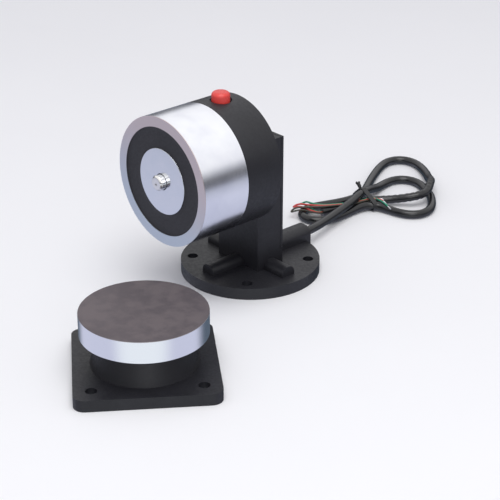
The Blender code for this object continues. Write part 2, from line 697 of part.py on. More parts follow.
def build_keeper(keeper):
    half, corner = PLATE_SIZE / 2, PLATE_CORNER
    outline = []
    for x, y, start in ((1, 1, 0), (-1, 1, 90), (-1, -1, 180), (1, -1, 270)):
        outline += arc((x * (half - corner), y * (half - corner)), corner, start, start + 90, 6)
    base = plate("keeper_base", outline, 0, PLATE_HEIGHT, parent=keeper, look="black_casting")
    pedestal = turned(
        "pedestal",
        [
            (0, PEDESTAL_TOP), (PEDESTAL_HEAD, PEDESTAL_TOP), (PEDESTAL_HEAD + 0.0006, PEDESTAL_TOP - 0.0010),
            (PEDESTAL_FOOT, PLATE_HEIGHT), (PEDESTAL_FOOT, 0.002), (0, 0.002),
        ],
        parent=keeper,
    )
    combine(base, pedestal, "UNION")
    socket = BALL_RADIUS + 0.0028
    opening = sphere_profile(socket, BALL_HEIGHT, PEDESTAL_TOP, 3)
    socket_outline = [(0, 0.022), (opening[0][0], 0.022)] + opening + [(socket, 0.003), (0, 0.003)]
    combine(base, turned("ball_socket", socket_outline, facets=24, parent=keeper))
    combine(base, rod("cap_recess", CAP_RADIUS + GAP, -0.002, CAP_TOP + GAP, facets=32, parent=keeper))
    for i, spot in enumerate(PLATE_SPOTS, 1):
        combine(base, rod(f"plate_hole_{i}", FIXING_RADIUS, -0.002, 0.012, spot, parent=keeper))

    dish = sphere_profile(socket, BALL_HEIGHT - socket * 0.9999, 0.009, 4)[::-1]
    cap = turned(
        "socket_cap",
        [(0, BALL_HEIGHT - socket)] + dish + [
            (0.0095, 0.009), (0.0095, CAP_TOP), (CAP_RADIUS, CAP_TOP), (CAP_RADIUS, CAP_BOTTOM),
            (0, CAP_BOTTOM),
        ],
        facets=24, parent=keeper, look="screw_steel",
    )
    for i in range(3):
        angle = math.radians(90 + 120 * i)
        x, y = CAP_SCREW_RADIUS * math.cos(angle), CAP_SCREW_RADIUS * math.sin(angle)
        combine(base, rod(f"cap_pilot_{i + 1}", PILOT, 0.002, 0.012, (x, y), 12, parent=keeper))
        combine(cap, rod(f"cap_hole_{i + 1}", PILOT, 0.002, 0.0065, (x, y), 12, parent=keeper))
        screw(f"cap_screw_{i + 1}", (x, y, CAP_BOTTOM - GAP), (math.pi, 0, 0), 0.0023, 0.0015, 0.0012, 0.0085,
              parent=keeper)
    turned(
        "buffer_ring",
        [(0.0220, 0.0212), (0.0220, PEDESTAL_TOP + GAP), (0.0160, PEDESTAL_TOP + GAP), (0.0160, 0.0212)],
        closed=True, facets=32, parent=keeper, look="rubber",
    )


def build_ball_joint(keeper):
    """The seat turns about X and the stud about Y, both through the ball's centre."""
    pivot = bpy.data.objects.new("ball_centre", None)
    MODEL.objects.link(pivot)
    pivot.parent = keeper
    pivot.location = (0, 0, BALL_HEIGHT)
    lower = (0, 0, -BALL_HEIGHT)
    seat = sphere_profile(BALL_RADIUS + 0.0025, 0.0085, 0.0185)
    liner = sphere_profile(BALL_RADIUS + GAP, 0.0085, 0.0185)[::-1]
    turned("ball_seat", seat + liner, closed=True, facets=24, parent=pivot, at=lower, look="bobbin_nylon")
    neck = 0.0039
    neck_start = BALL_HEIGHT + math.sqrt(BALL_RADIUS ** 2 - neck ** 2)
    turned(
        "ball_stud",
        [(0, 0.0330), (neck - 0.0006, 0.0330), (neck, 0.0324), (neck, DISC_BOTTOM - GAP),
         (0.0062, DISC_BOTTOM - GAP), (0.0062, 0.0224), (neck, 0.0224)]
        + sphere_profile(BALL_RADIUS, 0.0080, neck_start, 7) + [(0, 0.0080)],
        facets=24, parent=pivot, at=lower, look="screw_steel",
    )
    turned(
        "armature_disc",
        [
            (0, DISC_TOP), (DISC_RADIUS - 0.0006, DISC_TOP), (DISC_RADIUS, DISC_TOP - 0.0006),
            (DISC_RADIUS, DISC_BOTTOM + 0.0006), (DISC_RADIUS - 0.0006, DISC_BOTTOM),
            (neck + GAP, DISC_BOTTOM), (neck + GAP, 0.0335), (0, 0.0335),
        ],
        parent=pivot, at=lower, look="disc_steel",
    )


def round_fold(radius, heading):
    """A spot over the hank's round end, given in polar form about its middle, in degrees."""
    turn = math.radians(heading)
    return (FOLD_MIDDLE[0] + radius * math.cos(turn), FOLD_MIDDLE[1] + radius * math.sin(turn), WIRE_HEIGHT)


def build_cable():
    tube("supply_cable", smooth_route(CABLE_ROUTE, 0.0045), CABLE_RADIUS, 2, look="cable_jacket")
    outline = smooth_route([(x, y, 0) for x, y in HANK_OUTLINE], 0.0085, closed=True)
    hank = plate("cable_hank", [(p.x, p.y) for p in outline][::-1], 0, HANK_HEIGHT, look="cable_jacket")
    cable_end = Vector(CABLE_ROUTE[-1])
    inward = (cable_end - Vector(CABLE_ROUTE[-2])).normalized()
    mouth = tube("cable_mouth", [tuple(cable_end - inward * 0.009), tuple(cable_end + inward * GAP)],
                 CABLE_RADIUS + GAP, 2, look="cable_jacket")
    graph = bpy.context.evaluated_depsgraph_get()
    mouth_mesh = bpy.data.meshes.new_from_object(mouth.evaluated_get(graph))
    bpy.data.objects.remove(mouth)
    welded = bmesh.new()
    welded.from_mesh(mouth_mesh)
    bmesh.ops.remove_doubles(welded, verts=welded.verts, dist=0.00001)
    combine(hank, add("cable_mouth", from_bmesh("cable_mouth", welded)))

    tie_point = bpy.data.objects.new("tie_point", None)
    MODEL.objects.link(tie_point)
    tie_point.location = TIE_PLACE
    tie_point.rotation_euler = (0, 0, TIE_TURN)
    reach, low, high = TIE_OPENING
    side_wall, low_wall, high_wall = TIE_WALL
    half, beyond = TIE_HALF_WIDTH, 0.010
    groove = box("tie_groove", (-0.030, -half - GAP, -0.005), (0.030, half + GAP, 0.020), parent=tie_point)
    core = box("tie_core", (GAP - reach, -beyond, low + GAP), (reach - GAP, beyond, 0.030), parent=tie_point)
    combine(groove, core)
    combine(hank, groove)
    outer = reach + side_wall
    tie = box("cable_tie", (-outer, -half, low - low_wall), (outer, half, high + high_wall),
              parent=tie_point, look="rubber")
    combine(tie, box("tie_opening", (-reach, -beyond, low), (reach, beyond, high), parent=tie_point))

    across = Vector((math.cos(TIE_TURN), math.sin(TIE_TURN), 0))
    along = Vector((-math.sin(TIE_TURN), math.cos(TIE_TURN), 0))
    for name, (heading, start, lane, tip) in WIRES.items():
        route = [
            round_fold(radius, heading + turn)
            for radius, turn in (
                (start, 7), (0.0150, 6), (0.0215, 8), (0.0250, 0), (0.0215, -8), (0.0150, -6),
                (start + 0.0005, -14),
            )
        ]
        gate = Vector(TIE_PLACE) + across * lane + Vector((0, 0, WIRE_HEIGHT))
        route += [tuple(gate + along * step) for step in (-0.020, -0.006, 0.0045 - lane)]
        route.append((*tip, WIRE_HEIGHT))
        tube(name, smooth_route(route, 0.0031), WIRE_RADIUS, 1, look=name)


def main():
    clear_scene()
    head = bpy.data.objects.new("magnet_axis", None)
    MODEL.objects.link(head)
    head.location = (0, 0, AXIS_HEIGHT)
    head.rotation_euler = LEVEL
    keeper = bpy.data.objects.new("keeper_frame", None)
    MODEL.objects.link(keeper)
    keeper.location = KEEPER_PLACE
    keeper.rotation_euler = (0, 0, KEEPER_TURN)
    build_floor_stand()
    build_rear_cover()
    build_housing(head)
    build_magnet(head)
    build_ejector(head)
    build_electronics()
    build_button()
    build_wiring()
    build_keeper(keeper)
    build_ball_joint(keeper)
    build_cable()


main()
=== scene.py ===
import math

import bpy
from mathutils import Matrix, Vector


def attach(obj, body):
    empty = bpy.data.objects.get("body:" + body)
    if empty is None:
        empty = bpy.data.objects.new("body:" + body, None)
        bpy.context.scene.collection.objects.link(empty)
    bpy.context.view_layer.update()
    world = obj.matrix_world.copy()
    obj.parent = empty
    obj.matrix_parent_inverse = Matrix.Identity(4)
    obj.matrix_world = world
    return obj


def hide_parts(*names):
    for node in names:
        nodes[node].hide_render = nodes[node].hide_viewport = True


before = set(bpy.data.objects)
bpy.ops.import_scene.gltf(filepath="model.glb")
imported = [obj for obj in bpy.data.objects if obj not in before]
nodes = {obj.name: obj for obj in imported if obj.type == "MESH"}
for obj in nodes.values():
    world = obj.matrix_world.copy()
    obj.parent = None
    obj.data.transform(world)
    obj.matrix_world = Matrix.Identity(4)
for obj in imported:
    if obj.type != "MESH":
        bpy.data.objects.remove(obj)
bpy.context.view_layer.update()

fullTurn = math.radians(360)
levelForward = (math.radians(90), 0, 0)  # local Z points along -Y
levelBack = (math.radians(-90), 0, 0)  # local Z points along +Y
axisHeight = 0.0772  # of the magnet above the floor
cableHeight = 0.0100  # where the cable leaves the stand
boltRadius = 0.0028
wirePassRadius = 0.0035
fixingRadius = 0.00325


def clearSelection():
    bpy.ops.object.select_all(action="DESELECT")


def selectOnly(piece):
    clearSelection()
    piece.select_set(True)
    bpy.context.view_layer.objects.active = piece


def applyModifier(piece, kind, **settings):
    selectOnly(piece)
    modifier = piece.modifiers.new(kind.lower(), kind)
    for key, value in settings.items():
        setattr(modifier, key, value)
    bpy.ops.object.modifier_apply(modifier=modifier.name)


def settle(piece, place=(0, 0, 0), turn=(0, 0, 0)):
    # moves a piece and puts its place into its mesh
    selectOnly(piece)
    piece.location = place
    piece.rotation_euler = turn
    bpy.ops.object.transform_apply(location=True, rotation=True, scale=True)


def cleanMesh(piece):
    selectOnly(piece)
    bpy.ops.object.mode_set(mode="EDIT")
    bpy.ops.mesh.select_all(action="SELECT")
    bpy.ops.mesh.remove_doubles(threshold=1e-6)
    bpy.ops.mesh.normals_make_consistent(inside=False)
    bpy.ops.object.mode_set(mode="OBJECT")


def turned(name, profile, place=(0, 0, 0), turn=(0, 0, 0), steps=144, closed=False):
    # one vertex is extruded along the profile of (radius, height), then spun about Z
    clearSelection()
    bpy.ops.mesh.primitive_plane_add(size=0.001)
    piece = bpy.context.object
    piece.name = name
    outline = profile + profile[:1] if closed else profile
    bpy.ops.object.mode_set(mode="EDIT")
    bpy.ops.mesh.merge(type="CENTER")
    bpy.ops.transform.translate(value=(outline[0][0], 0, outline[0][1]))
    for (radius, height), (nextRadius, nextHeight) in zip(outline, outline[1:]):
        move = (nextRadius - radius, 0, nextHeight - height)
        bpy.ops.mesh.extrude_vertices_move(TRANSFORM_OT_translate={"value": move})
    bpy.ops.mesh.select_all(action="SELECT")
    bpy.ops.mesh.spin(steps=steps, angle=fullTurn, center=(0, 0, 0), axis=(0, 0, 1))
    bpy.ops.object.mode_set(mode="OBJECT")
    cleanMesh(piece)
    settle(piece, place, turn)
    return piece


def block(name, low, high):
    clearSelection()
    low, high = Vector(low), Vector(high)
    bpy.ops.mesh.primitive_cube_add(size=1, location=(low + high) / 2, scale=high - low)
    piece = bpy.context.object
    piece.name = name
    bpy.ops.object.transform_apply(location=True, rotation=True, scale=True)
    return piece


def rod(name, radius, start, end, sides=48):
    # a cylinder between two points
    clearSelection()
    start, end = Vector(start), Vector(end)
    heading = (end - start).to_track_quat("Z", "Y").to_euler()
    bpy.ops.mesh.primitive_cylinder_add(
        vertices=sides, radius=radius, depth=(end - start).length, location=(start + end) / 2,
        rotation=heading,
    )
    piece = bpy.context.object
    piece.name = name
    bpy.ops.object.transform_apply(location=True, rotation=True, scale=True)
    return piece


def bevelEdges(piece, wanted, width, segments):
    # bevels the edges whose two ends pass the test
    selectOnly(piece)
    bpy.ops.object.mode_set(mode="EDIT")
    bpy.ops.mesh.select_mode(type="EDGE")
    bpy.ops.mesh.select_all(action="DESELECT")
    bpy.ops.object.mode_set(mode="OBJECT")
    for edge in piece.data.edges:
        a, b = (piece.data.vertices[index].co for index in edge.vertices)
        edge.select = wanted(a, b)
    bpy.ops.object.mode_set(mode="EDIT")
    bpy.ops.mesh.bevel(offset=width, segments=segments, affect="EDGES")
    bpy.ops.mesh.select_mode(type="VERT")
    bpy.ops.object.mode_set(mode="OBJECT")


def roundTop(piece, width, along, segments=8):
    # rounds the upper edges that run along one axis, which makes a round-backed rib
    top = max(vertex.co.z for vertex in piece.data.vertices)
    bevelEdges(
        piece, lambda a, b: min(a.z, b.z) > top - 1e-6 and abs(a[along] - b[along]) > 1e-4, width, segments,
    )
    return piece


def combine(piece, others, operation):
    for other in others:
        applyModifier(piece, "BOOLEAN", object=other, operation=operation, solver="EXACT")
        bpy.data.objects.remove(other, do_unlink=True)


def weld(piece, *others):
    combine(piece, others, "UNION")


def carve(piece, *others):
    combine(piece, others, "DIFFERENCE")


def softenEdges(piece, width, segments=2, angle=34):
    applyModifier(
        piece, "BEVEL", width=width, segments=segments, limit_method="ANGLE",
        angle_limit=math.radians(angle), use_clamp_overlap=True, miter_outer="MITER_ARC",
    )


def smooth(piece, angle=32):
    selectOnly(piece)
    bpy.ops.object.shade_smooth_by_angle(angle=math.radians(angle), keep_sharp_edges=False)
    applyModifier(piece, "WEIGHTED_NORMAL", keep_sharp=True, weight=50)


def joinPieces(piece, others):
    selectOnly(piece)
    for other in others:
        other.select_set(True)
    bpy.ops.object.join()


def tube(name, points, radius, sides=3):
    # a round line through points close together
    line = bpy.data.curves.new(name, "CURVE")
    line.dimensions = "3D"
    line.bevel_depth = radius
    line.bevel_resolution = sides
    line.use_fill_caps = True
    spline = line.splines.new("POLY")
    spline.points.add(len(points) - 1)
    for spot, point in zip(spline.points, points):
        spot.co = (*point, 1)
    piece = bpy.data.objects.new(name, line)
    bpy.context.scene.collection.objects.link(piece)
    return piece


def tubeMesh(name, points, radius, sides=3):
    piece = tube(name, points, radius, sides)
    selectOnly(piece)
    bpy.ops.object.convert(target="MESH")
    piece.data.materials.clear()
    cleanMesh(piece)
    return piece


def hand(piece, body, material, replaced=()):
    # what every finished piece gets
    if piece.type == "MESH":
        piece.data.materials.clear()
    piece.data.materials.append(material)
    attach(piece, body)
    if replaced:
        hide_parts(*replaced)


class Flow:
    # a socket that takes part in sums
    def __init__(self, recipe, socket):
        self.recipe = recipe
        self.socket = socket

    def sum(self, operation, first, second):
        return self.recipe.add("ShaderNodeMath", {"operation": operation}, {0: first, 1: second})

    def __add__(self, other):
        return self.sum("ADD", self, other)

    def __radd__(self, other):
        return self.sum("ADD", other, self)

    def __sub__(self, other):
        return self.sum("SUBTRACT", self, other)

    def __rsub__(self, other):
        return self.sum("SUBTRACT", other, self)

    def __mul__(self, other):
        return self.sum("MULTIPLY", self, other)

    def __rmul__(self, other):
        return self.sum("MULTIPLY", other, self)

    def __pow__(self, other):
        return self.sum("POWER", self, other)


class Recipe:
    # one material's or the world's nodes
    def __init__(self, tree):
        self.tree = tree

    def add(self, kind, settings=None, values=None, output=0):
        node = self.tree.nodes.new(kind)
        for key, value in (settings or {}).items():
            if key == "stops":
                ramp = node.color_ramp
                while len(ramp.elements) < len(value):
                    ramp.elements.new(0.5)
                for stop, (position, colour) in zip(ramp.elements, value):
                    stop.position = position
                    stop.color = (*colour, 1)
            else:
                setattr(node, key, value)
        for key, value in (values or {}).items():
            if isinstance(value, Flow):
                self.tree.links.new(value.socket, node.inputs[key])
            else:
                node.inputs[key].default_value = value
        return Flow(self, node.outputs[output])

    def place(self):
        return self.add("ShaderNodeTexCoord", output="Object")

    def axes(self, vector):
        node = self.add("ShaderNodeSeparateXYZ", None, {0: vector}).socket.node
        return [Flow(self, socket) for socket in node.outputs]

    def noise(self, vector, scale, detail=3, roughness=0.55):
        values = {"Vector": vector, "Scale": scale, "Detail": detail, "Roughness": roughness}
        return self.add("ShaderNodeTexNoise", None, values)

    def stretched(self, vector, scale, place=(0, 0, 0), turn=(0, 0, 0)):
        return self.add("ShaderNodeMapping", None, {0: vector, 1: place, 2: turn, 3: scale})

    def between(self, value, low, high, start=0.0, end=1.0):
        values = {0: value, 1: low, 2: high, 3: start, 4: end}
        return self.add("ShaderNodeMapRange", {"interpolation_type": "SMOOTHSTEP"}, values)

    def mix(self, mask, first, second):
        values = {"Factor": mask, 6: first, 7: second}
        return self.add("ShaderNodeMix", {"data_type": "RGBA"}, values, 2)

    def bump(self, height, strength, distance):
        values = {"Height": height, "Strength": strength, "Distance": distance}
        return self.add("ShaderNodeBump", None, values)


def tint(red, green, blue):
    return (red, green, blue, 1)


def material(name, build, **fixed):
    # build gets the recipe and gives the values or flows of the shader's sockets
    made = bpy.data.materials.new(name)
    made.use_nodes = True
    recipe = Recipe(made.node_tree)
    shader = made.node_tree.nodes["Principled BSDF"]
    for key, value in {**fixed, **build(recipe)}.items():
        if isinstance(value, Flow):
            made.node_tree.links.new(value.socket, shader.inputs[key])
        else:
            shader.inputs[key].default_value = value
    return made


camera = {
    "place": (0.66163768, -0.59382361, 0.44336456),
    "turn": (64.127, -0.083, 48.143),  # degrees
    "lens": 116.33,
}
clearSelection()
heading = [math.radians(angle) for angle in camera["turn"]]
bpy.ops.object.camera_add(location=camera["place"], rotation=heading)
bpy.context.object.data.lens = camera["lens"]
bpy.context.object.data.sensor_width = 36
bpy.context.object.data.clip_start = 0.01
bpy.context.scene.camera = bpy.context.object
bpy.context.scene.view_settings.view_transform = "Standard"

studio = {
    "floorSize": 16,
    "floorColour": (0.90, 0.90, 0.91),
    "keyPlace": (0.35, -0.25, 1.30),
    "keySize": 1.1,
    "keyPower": 9.5,
    "fillPlace": (1.2, -0.9, 0.55),
    "fillSize": 0.8,
    "fillPower": 3.0,
    "skyStrength": 1.0,
}


def buildWorld():
    world = bpy.data.worlds.new("studio")
    bpy.context.scene.world = world
    world.use_nodes = True
    recipe = Recipe(world.node_tree)
    heading = recipe.add("ShaderNodeTexCoord", output="Generated")
    x, y, z = recipe.axes(heading)
    room = recipe.add("ShaderNodeValToRGB", {"stops": [
        (0.00, (0.50, 0.52, 0.66)), (0.28, (0.66, 0.68, 0.82)), (0.40, (0.52, 0.54, 0.64)),
        (0.455, (0.15, 0.155, 0.18)), (0.53, (0.13, 0.13, 0.14)), (0.60, (0.55, 0.56, 0.60)),
        (0.66, (1.00, 1.00, 1.02)), (1.00, (1.15, 1.15, 1.15)),
    ]}, {0: z * 0.5 + 0.5})
    towardBackLeft = recipe.between(x * -0.6 + y * 0.8, 0.35, 0.75)
    belowHorizon = recipe.between(z, -0.05, -0.20)
    room = recipe.mix(towardBackLeft * belowHorizon, room, tint(0.10, 0.13, 0.17))
    towardViewer = recipe.between(x * 0.745 + y * -0.667, 0.45, 0.80)
    room = recipe.mix(towardViewer * belowHorizon, room, tint(0.92, 0.97, 1.0))
    rays = recipe.add("ShaderNodeLightPath").socket.node
    fromCamera = Flow(recipe, rays.outputs["Is Camera Ray"])
    fromDiffuse = Flow(recipe, rays.outputs["Is Diffuse Ray"])
    even = recipe.mix(fromDiffuse, room, tint(0.50, 0.50, 0.54))
    shown = recipe.mix(fromCamera, even, tint(1, 1, 1))
    background = world.node_tree.nodes["Background"]
    world.node_tree.links.new(shown.socket, background.inputs["Color"])
    background.inputs["Strength"].default_value = studio["skyStrength"]


def buildStudio():
    clearSelection()
    bpy.ops.mesh.primitive_plane_add(size=studio["floorSize"], location=(0, 0, -0.00005))
    floor = bpy.context.object
    floor.name = "studio_floor"

    def floorLook(recipe):
        grain = recipe.noise(recipe.place(), 6)
        return {"Base Color": recipe.mix(grain, tint(*studio["floorColour"]), tint(0.93, 0.93, 0.94))}

    floor.data.materials.append(material("pale floor", floorLook, Roughness=0.8))
    floor.visible_glossy = False
    for name in ("key", "fill"):
        place = Vector(studio[name + "Place"])
        heading = (Vector((0, -0.02, 0.04)) - place).to_track_quat("-Z", "Y").to_euler()
        bpy.ops.object.light_add(type="AREA", location=place, rotation=heading)
        light = bpy.context.object
        light.name = "studio_" + name
        light.data.shape = "DISK"
        light.data.size = studio[name + "Size"]
        light.data.energy = studio[name + "Power"]


buildWorld()
buildStudio()
print("camera, light and floor are in place")


def castingLook(recipe):
    # satin black paint over a die casting
    place = recipe.place()
    broad = recipe.noise(place, 45, 2)
    grain = recipe.noise(place, 1900, 2)
    speck = recipe.noise(place, 620, 4)
    colour = recipe.mix(
        recipe.between(broad, 0.35, 0.65), tint(0.0085, 0.0085, 0.0118), tint(0.0125, 0.0125, 0.0165),
    )
    return {
        "Base Color": colour,
        "Roughness": recipe.between(speck, 0.3, 0.7, 0.40, 0.54),
        "Normal": recipe.bump(grain * 0.6 + speck * 0.4, 0.22, 0.00012),
    }


def zincLook(recipe):
    # bright zinc on the turned side, duller on the front face, finished by grinding; the front face's
    # blue-grey to violet-grey colour is a painted reflection
    place = recipe.place()
    x, y, z = recipe.axes(place)
    front = recipe.between(y, -0.0674, -0.0677)
    lines = recipe.noise(recipe.stretched(place, (1, 260, 1)), 34, 3)
    cloud = recipe.noise(place, 60, 3)
    dull = recipe.noise(place, 900, 3)
    side = recipe.mix(recipe.between(cloud, 0.3, 0.7), tint(0.80, 0.81, 0.87), tint(0.88, 0.89, 0.93))
    # painted reflection: the front face runs from blue-grey at the bottom to violet-grey at the top
    face = recipe.mix(
        recipe.between(z + x * 0.35, 0.045, 0.105), tint(0.56, 0.62, 0.68), tint(0.66, 0.57, 0.56)
    )
    rough = recipe.between(lines * 0.5 + cloud * 0.5, 0.3, 0.7, 0.17, 0.25)
    return {
        "Base Color": recipe.mix(front, side, face),
        "Roughness": rough + front * 0.10,
        "Normal": recipe.bump(lines * 0.5 + dull * 0.12, 0.10, 0.00006),
    }


def poleLook(recipe):
    place = recipe.place()
    x, _, z = recipe.axes(place)
    height = z - axisHeight
    radius = (x * x + height * height) ** 0.5
    rings = recipe.add("ShaderNodeTexNoise", {"noise_dimensions": "1D"}, {"W": radius * 2600, "Scale": 1.0})
    cloud = recipe.noise(place, 130, 3)
    return {
        "Base Color": recipe.mix(cloud, tint(0.66, 0.70, 0.76), tint(0.78, 0.79, 0.84)),
        "Roughness": recipe.between(cloud, 0.3, 0.7, 0.13, 0.21),
        "Normal": recipe.bump(rings * 0.6 + cloud * 0.4, 0.06, 0.00005),
    }


def pottingLook(recipe):
    place = recipe.place()
    flow = recipe.noise(place, 70, 2)
    grit = recipe.noise(place, 1500, 3)
    return {
        "Base Color": recipe.mix(flow, tint(0.010, 0.010, 0.013), tint(0.018, 0.017, 0.022)),
        "Roughness": recipe.between(grit, 0.3, 0.7, 0.42, 0.60),
        "Normal": recipe.bump(flow * 0.8 + grit * 0.2, 0.15, 0.0002),
    }


def discLook(recipe):
    # steel finished by grinding on top, with its own mottled tone and a painted dark grey-brown reflection;
    # bright zinc round the rim
    place = recipe.place()
    z = recipe.axes(place)[2]
    top = recipe.between(z, 0.03705, 0.03745)
    mottle = recipe.noise(place, 150, 4, 0.65)
    fine = recipe.noise(place, 1300, 3)
    blots = recipe.noise(place, 38, 2)
    # painted reflection: the top's dark grey-brown stands in for a reflection of dark surroundings, mottled by
    # the steel's own tone
    groundMottleAndPaintedReflection = recipe.mix(
        recipe.between(mottle * 0.6 + blots * 0.4, 0.38, 0.62),
        tint(0.105, 0.088, 0.098), tint(0.145, 0.122, 0.130),
    )
    return {
        "Base Color": recipe.mix(top, tint(0.84, 0.85, 0.90), groundMottleAndPaintedReflection),
        "Metallic": 1 - top * 0.45,
        "Roughness": 0.20 + top * recipe.between(mottle, 0.3, 0.7, 0.28, 0.40),
        "Normal": recipe.bump(fine * 0.6 + mottle * 0.4, 0.10, 0.00008),
    }


def steelLook(low, high, rough):
    def build(recipe):
        place = recipe.place()
        cloud = recipe.noise(place, 260, 3)
        fine = recipe.noise(place, 2400, 2)
        return {
            "Base Color": recipe.mix(cloud, tint(*low), tint(*high)),
            "Roughness": recipe.between(cloud, 0.3, 0.7, rough - 0.05, rough + 0.05),
            "Normal": recipe.bump(fine, 0.08, 0.00005),
        }
    return build


def plasticLook(low, high, rough, grain=1600, strength=0.10):
    def build(recipe):
        place = recipe.place()
        cloud = recipe.noise(place, 180, 2)
        fine = recipe.noise(place, grain, 2)
        return {
            "Base Color": recipe.mix(cloud, tint(*low), tint(*high)),
            "Roughness": recipe.between(fine, 0.3, 0.7, rough - 0.05, rough + 0.06),
            "Normal": recipe.bump(fine, strength, 0.00008),
        }
    return build


def windingLook(recipe):
    # turns of enamelled wire side by side, with painted shade in the valleys between them
    place = recipe.place()
    y = recipe.axes(place)[1]
    pitch = 0.00045  # of the winding
    wave = recipe.add("ShaderNodeMath", {"operation": "SINE"}, {0: y * (2 * math.pi / pitch)})
    turns = wave * 0.5 + 0.5
    cloud = recipe.noise(place, 300, 2)
    copper = recipe.mix(cloud, tint(0.60, 0.24, 0.10), tint(0.78, 0.36, 0.17))
    return {
        # painted shade: the valleys between turns are coloured dark brown
        "Base Color": recipe.mix(turns, tint(0.20, 0.07, 0.03), copper),
        "Roughness": recipe.between(cloud, 0.3, 0.7, 0.25, 0.38),
        "Normal": recipe.bump(turns, 0.6, 0.0002),
    }


def boardLook(recipe):
    # solder mask with tracks and tinned pads
    place = recipe.place()
    x = recipe.axes(place)[0]
    glass = recipe.noise(place, 2600, 2)
    wander = recipe.noise(place, 90, 1)
    tracks = recipe.add("ShaderNodeMath", {"operation": "PINGPONG"}, {0: x + wander * 0.006, 1: 0.0016})
    onTrack = recipe.between(tracks, 0.0010, 0.0012)
    spacing = {"Vector": place, "Scale": 230, "Randomness": 0.2}
    dots = recipe.add("ShaderNodeTexVoronoi", {"feature": "F1"}, spacing)
    pads = recipe.between(dots, 0.22, 0.18)
    mask = recipe.mix(onTrack, tint(0.012, 0.11, 0.045), tint(0.03, 0.22, 0.09))
    return {
        "Base Color": recipe.mix(pads, mask, tint(0.66, 0.66, 0.64)),
        "Metallic": pads,
        "Roughness": 0.34 - pads * 0.08 + glass * 0.06,
        "Normal": recipe.bump(onTrack * 0.5 + pads, 0.3, 0.00006),
    }


def jacketLook(recipe):
    # glossy PVC with the faint waviness of an extruded jacket
    place = recipe.place()
    wave = recipe.noise(place, 190, 2)
    fine = recipe.noise(place, 1500, 2)
    return {
        "Base Color": recipe.mix(wave, tint(0.0060, 0.0062, 0.0075), tint(0.0105, 0.0108, 0.0125)),
        "Roughness": recipe.between(fine, 0.3, 0.7, 0.19, 0.27),
        "Normal": recipe.bump(wave * 0.8 + fine * 0.2, 0.20, 0.00020),
    }


looks = {
    "casting": material("satin black casting", castingLook, **{"Specular IOR Level": 0.42}),
    "zinc": material("bright zinc", zincLook, Metallic=1.0),
    "pole": material("polished pole", poleLook, Metallic=1.0),
    "potting": material("potting resin", pottingLook, **{"Specular IOR Level": 0.45}),
    "disc": material("ground disc", discLook),
    "pin": material("nickel pin", steelLook((0.72, 0.71, 0.70), (0.84, 0.83, 0.82), 0.14), Metallic=1.0),
    "screw": material("screw steel", steelLook((0.30, 0.30, 0.31), (0.42, 0.42, 0.43), 0.30), Metallic=1.0),
    "spring": material("spring steel", steelLook((0.44, 0.43, 0.42), (0.58, 0.57, 0.55), 0.24), Metallic=1.0),
    "tinned": material(
        "tinned strands", steelLook((0.74, 0.74, 0.76), (0.90, 0.90, 0.92), 0.26), Metallic=1.0,
    ),
    "copper": material("copper winding", windingLook, Metallic=1.0),
    "nylon": material("natural nylon", plasticLook((0.60, 0.57, 0.49), (0.70, 0.67, 0.60), 0.48)),
    "red": material("red button", plasticLook((0.66, 0.045, 0.040), (0.76, 0.070, 0.058), 0.30)),
    "black": material("black plastic", plasticLook((0.012, 0.012, 0.013), (0.020, 0.020, 0.022), 0.44)),
    "board": material("circuit board", boardLook),
    "rubber": material(
        "black rubber", plasticLook((0.010, 0.010, 0.010), (0.018, 0.018, 0.018), 0.70, 900, 0.3),
    ),
    "jacket": material("pvc jacket", jacketLook),
    "tie": material("tie plastic", plasticLook((0.010, 0.010, 0.011), (0.018, 0.018, 0.020), 0.40)),
    "wireRed": material("red insulation", plasticLook((0.50, 0.035, 0.035), (0.62, 0.07, 0.06), 0.36)),
    "wireGreen": material("green insulation", plasticLook((0.010, 0.20, 0.12), (0.02, 0.30, 0.18), 0.36)),
    "wireBlack": material("black insulation", plasticLook((0.030, 0.028, 0.018), (0.05, 0.046, 0.03), 0.34)),
}
slotLooks = {
    "stand_black": "casting", "housing_black": "casting", "keeper_black": "casting", "pot_plated": "zinc",
    "pole_plated": "pole", "potting_black": "potting", "winding_copper": "copper", "bobbin_nylon": "nylon",
    "button_red": "red", "switch_black": "black", "board_green": "board", "screws_steel": "screw",
    "pin_steel": "pin", "springs_steel": "spring", "disc_steel": "disc", "rubber_black": "rubber",
    "jacket_black": "jacket", "tie_black": "tie", "wire_red": "wireRed", "wire_green": "wireGreen",
    "wire_black": "wireBlack",
}
for node in nodes.values():
    for slotIndex, worn in enumerate(node.material_slots):
        node.material_slots[slotIndex].material = looks[slotLooks[worn.material.name.split(".")[0]]]
print("finishes are on the carried-over pieces")


